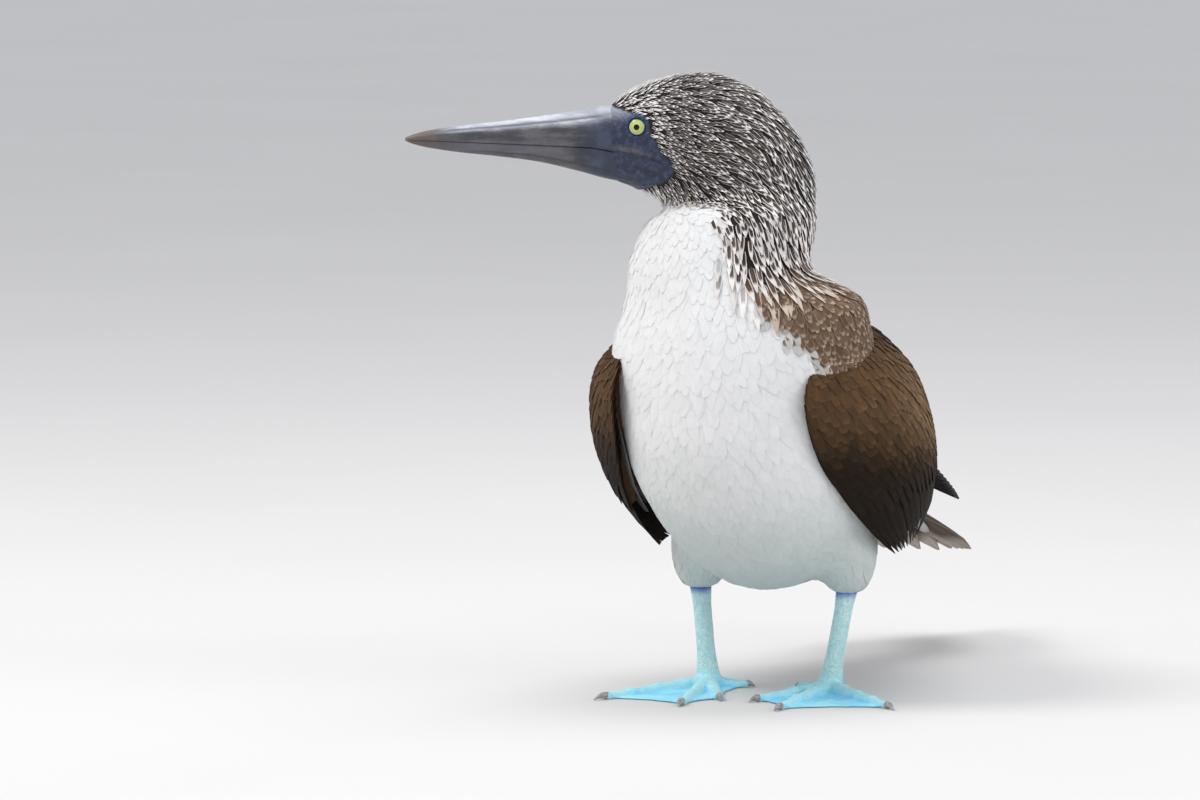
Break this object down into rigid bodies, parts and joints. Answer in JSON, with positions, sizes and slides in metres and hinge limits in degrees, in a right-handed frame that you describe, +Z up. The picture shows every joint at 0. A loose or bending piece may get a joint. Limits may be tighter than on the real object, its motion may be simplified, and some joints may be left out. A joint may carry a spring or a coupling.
{
  "type": "blue-footed booby, standing",
  "caption": "Still, life-size seabird standing on both webbed feet, wings folded and a little drooped, head turned to its right in profile.",
  "frame": {"origin": "middle of the underside, on the floor that the soles rest on", "axes": "-Y is the way the breast faces and +Y the tail, +X is the bird's left, +Z is up"},
  "size_m": [0.2434, 0.3864, 0.3163],
  "materials": {
    "plumage_breast": "white contour feathers laid like tiles, faintly scalloped",
    "plumage_neck": "narrow pointed feathers, brown with pale tips",
    "plumage_head": "short narrow feathers, brown with pale tips",
    "plumage_wing": "dark brown coverts and near-black flight feathers",
    "plumage_tail": "pale brown feathers with whitish centres",
    "plumage_thigh": "short white feathers",
    "bill_horn": "blue-grey horn with fine grooves, browner at the tip",
    "iris": "pale yellow iris with a small black pupil under a clear cornea",
    "leg_skin": "pale turquoise scaled skin",
    "foot_skin": "sky blue webs with small scales and dark flecks",
    "claw_horn": "grey horn"
  },
  "bodies": {
    "root": {"torso": "plumage_breast", "neck": "plumage_neck", "head": "plumage_head", "bill_upper": "bill_horn", "bill_lower": "bill_horn", "tail": "plumage_tail", "eye_left": "iris", "wing_left": "plumage_wing", "thigh_left": "plumage_thigh", "shank_left": "leg_skin", "foot_left": "foot_skin", "claw_left_outer": "claw_horn", "claw_left_middle": "claw_horn", "claw_left_inner": "claw_horn", "claw_left_hind": "claw_horn", "eye_right": "iris", "wing_right": "plumage_wing", "thigh_right": "plumage_thigh", "shank_right": "leg_skin", "foot_right": "foot_skin", "claw_right_outer": "claw_horn", "claw_right_middle": "claw_horn", "claw_right_inner": "claw_horn", "claw_right_hind": "claw_horn"}
  },
  "joints": []
}
